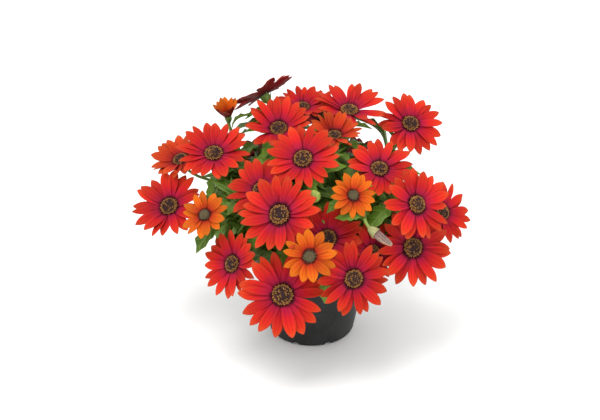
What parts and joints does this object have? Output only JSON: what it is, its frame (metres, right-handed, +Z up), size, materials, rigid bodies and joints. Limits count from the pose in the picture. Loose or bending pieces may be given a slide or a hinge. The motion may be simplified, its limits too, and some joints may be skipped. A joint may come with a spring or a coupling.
{
  "type": "potted osteospermum",
  "caption": "Bushy osteospermum in full bloom, with scarlet and orange daisy flowers over toothed leaves, rooted in a round black nursery pot that stands on its flat base.",
  "frame": {"origin": "centre of the pot's flat base, on the surface it stands on", "axes": "+Z up through the pot's axis; the side with most blooms faces -Y"},
  "size_m": [0.2945, 0.2501, 0.2238],
  "materials": {
    "rays_red": "soft petal, scarlet with a crimson inner third",
    "rays_orange_red": "soft petal, orange-red",
    "rays_orange": "soft petal, orange with redder bases",
    "disc": "dark brown florets with a gold anther ring",
    "foliage": "mid green leaf, slightly waxy",
    "closed_bloom": "cream and purple-brown furled petals",
    "soil": "dark crumbly potting soil",
    "pot": "black moulded plastic"
  },
  "bodies": {
    "root": {"pot": "pot", "soil": "soil", "foliage": "foliage", "closed_bloom": "closed_bloom", "bloom_01_rays": "rays_red", "bloom_01_disc": "disc", "bloom_02_rays": "rays_orange", "bloom_02_disc": "disc", "bloom_03_rays": "rays_red", "bloom_03_disc": "disc", "bloom_04_rays": "rays_orange_red", "bloom_04_disc": "disc", "bloom_05_rays": "rays_orange", "bloom_05_disc": "disc", "bloom_06_rays": "rays_red", "bloom_06_disc": "disc", "bloom_07_rays": "rays_red", "bloom_07_disc": "disc", "bloom_08_rays": "rays_red", "bloom_08_disc": "disc", "bloom_09_rays": "rays_red", "bloom_09_disc": "disc", "bloom_10_rays": "rays_red", "bloom_10_disc": "disc", "bloom_11_rays": "rays_red", "bloom_11_disc": "disc", "bloom_12_rays": "rays_red", "bloom_12_disc": "disc", "bloom_13_rays": "rays_orange_red", "bloom_13_disc": "disc", "bloom_14_rays": "rays_red", "bloom_14_disc": "disc", "bloom_15_rays": "rays_orange", "bloom_15_disc": "disc", "bloom_16_rays": "rays_red", "bloom_16_disc": "disc", "bloom_17_rays": "rays_red", "bloom_17_disc": "disc", "bloom_18_rays": "rays_red", "bloom_18_disc": "disc", "bloom_19_rays": "rays_red", "bloom_19_disc": "disc", "bloom_20_rays": "rays_red", "bloom_20_disc": "disc", "bloom_21_rays": "rays_red", "bloom_21_disc": "disc", "bloom_22_rays": "rays_orange", "bloom_22_disc": "disc", "bloom_23_rays": "rays_red", "bloom_23_disc": "disc", "bloom_24_rays": "rays_red", "bloom_24_disc": "disc", "bloom_25_rays": "rays_red", "bloom_25_disc": "disc", "bloom_26_rays": "rays_red", "bloom_26_disc": "disc", "bloom_27_rays": "rays_red", "bloom_27_disc": "disc", "bloom_28_rays": "rays_red", "bloom_28_disc": "disc"}
  },
  "joints": []
}
